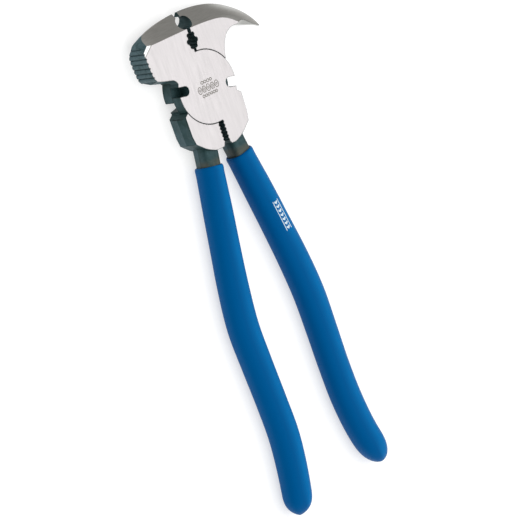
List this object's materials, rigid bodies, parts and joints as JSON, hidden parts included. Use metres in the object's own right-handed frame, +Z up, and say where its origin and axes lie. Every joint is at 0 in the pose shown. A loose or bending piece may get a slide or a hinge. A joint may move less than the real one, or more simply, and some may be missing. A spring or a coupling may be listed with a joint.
{
  "type": "fencing pliers",
  "caption": "Fencing pliers with ribbed hammer face, staple claw, pincer jaws with pipe grip, shear wire cutters beside a lapped rivet joint, and dipped handle grips.",
  "frame": {"origin": "on the pivot's axis, in the plane of the rear ground face that the tool lies on", "axes": "+Z up through the thickness, along the pivot's axis; +Y from the grips towards the jaws; +X towards the staple claw"},
  "size_m": [0.08, 0.2603, 0.013],
  "materials": {
    "forged_steel": "drop-forged, black-oxided sides with satin ground faces",
    "rivet_steel": "ground flush, satin",
    "grip_pvc": "dipped soft PVC, satin blue"
  },
  "bodies": {
    "hammer_side": {"hammer_half": "forged_steel", "pivot_rivet": "rivet_steel", "hammer_side_grip": "grip_pvc"},
    "claw_side": {"claw_half": "forged_steel", "claw_side_grip": "grip_pvc"}
  },
  "joints": [
    {"name": "pivot", "type": "hinge", "parent": "hammer_side", "child": "claw_side", "pos_m": [0, 0, 0], "axis": [0, 0, -1], "range_deg": [-4, 48]}
  ]
}
